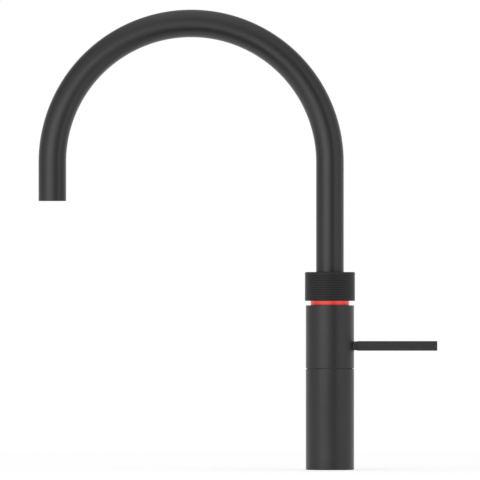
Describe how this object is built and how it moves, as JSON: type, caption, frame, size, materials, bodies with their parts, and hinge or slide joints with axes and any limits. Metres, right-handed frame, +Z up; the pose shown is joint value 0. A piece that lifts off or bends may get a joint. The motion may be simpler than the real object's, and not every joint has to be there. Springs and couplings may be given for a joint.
{
  "type": "boiling water tap",
  "caption": "Matt black swan-neck kitchen tap for mixed and boiling water, with a side lever, a push-and-turn control ring over a red light ring, and a threaded shank for a worktop hole.",
  "frame": {"origin": "centre of the tap's foot on the worktop face, on the axis of column and shank", "axes": "+Z up along the column, +X along the lever at rest, and the spout reaches towards -X; the picture looks along +Y"},
  "size_m": [0.3552, 0.054, 0.5049],
  "materials": {
    "black_coat": "fine matt black powder coat",
    "black_insert": "moulded black plastic",
    "light_red": "red diffusing plastic, lit from below",
    "brass": "turned brass",
    "steel": "turned stainless steel",
    "black_steel": "steel with a black hard coat",
    "copper": "drawn copper pipe",
    "white_plastic": "moulded acetal plastic",
    "ceramic": "ground ceramic",
    "rubber": "moulded rubber",
    "board": "green circuit board",
    "lamp": "lamp package",
    "zinc_steel": "zinc plated steel"
  },
  "bodies": {
    "fixed_body": {"base_column": "black_coat", "upper_body": "black_coat", "seam_ring": "rubber", "body_set_screw": "steel", "valve_core": "brass", "channel_plugs": "brass", "cartridge_housing": "white_plastic", "cartridge_cap": "brass", "cartridge_nut": "brass", "cartridge_seals": "rubber", "fixed_disc": "ceramic", "guide_sleeve": "brass", "sleeve_screws": "steel", "lower_bush": "white_plastic", "upper_bush": "white_plastic", "thrust_washer": "white_plastic", "boiling_seal": "rubber", "light_ring": "light_red", "light_board": "board", "lamps": "lamp", "ring_sensors": "rubber", "return_spring": "steel", "shank": "steel", "base_seal": "rubber", "deck_gasket": "rubber", "deck_washer": "zinc_steel", "lock_nut": "brass", "jack_screws": "zinc_steel", "cold_tail": "copper", "hot_tail": "copper", "boiling_tail": "copper", "tail_seals": "rubber", "tail_plate": "white_plastic", "cable_grommet": "rubber"},
    "spout": {"spout_tube": "black_coat", "spout_tail": "brass", "spout_seals": "rubber", "boiling_tube": "steel", "tube_spacers": "white_plastic", "outlet_nozzle": "black_insert", "nozzle_seal": "rubber"},
    "ring_carriage": {"ring_carriage": "white_plastic", "ring_circlip": "steel"},
    "control_ring": {"control_ring": "black_coat", "ring_base": "black_insert", "ring_hub": "white_plastic", "ring_magnets": "steel"},
    "lever_guide": {"guide_shoe": "steel"},
    "lever": {"lever_bar": "black_coat", "lever_spindle": "black_steel", "lever_screw": "steel"},
    "disc_frame": {"slide_frame": "steel"},
    "mixing_disc": {"moving_disc": "ceramic"}
  },
  "joints": [
    {"name": "spout_swivel", "type": "hinge", "parent": "fixed_body", "child": "spout", "pos_m": [0, 0, 0.15], "axis": [0, 0, 1], "continuous": true},
    {"name": "ring_push", "type": "slide", "parent": "fixed_body", "child": "ring_carriage", "axis": [0, 0, -1], "range_m": [0, 0.0032], "stiffness_N_per_m": 900, "springref_m": -0.006, "deforming": ["return_spring"]},
    {"name": "ring_turn", "type": "hinge", "parent": "ring_carriage", "child": "control_ring", "pos_m": [0, 0, 0.163], "axis": [0, 0, 1], "range_deg": [0, 90]},
    {"name": "lever_swing", "type": "hinge", "parent": "fixed_body", "child": "lever_guide", "pos_m": [0.02, 0, 0.1104], "axis": [0, 0, 1], "range_deg": [-15, 15]},
    {"name": "lever_lift", "type": "hinge", "parent": "lever_guide", "child": "lever", "pos_m": [0.02, 0, 0.1104], "axis": [0, -1, 0], "range_deg": [0, 18]},
    {"name": "disc_sideways", "type": "slide", "parent": "fixed_body", "child": "disc_frame", "axis": [0, 1, 0], "range_m": [-0.0032, 0.0032]},
    {"name": "disc_down", "type": "slide", "parent": "disc_frame", "child": "mixing_disc", "axis": [0, 0, 1], "range_m": [-0.0038, 0]}
  ],
  "couplings": [
    {"joint": "disc_sideways", "follows": "lever_swing", "m_per_rad": -0.012},
    {"joint": "disc_down", "follows": "lever_lift", "m_per_rad": -0.012}
  ]
}
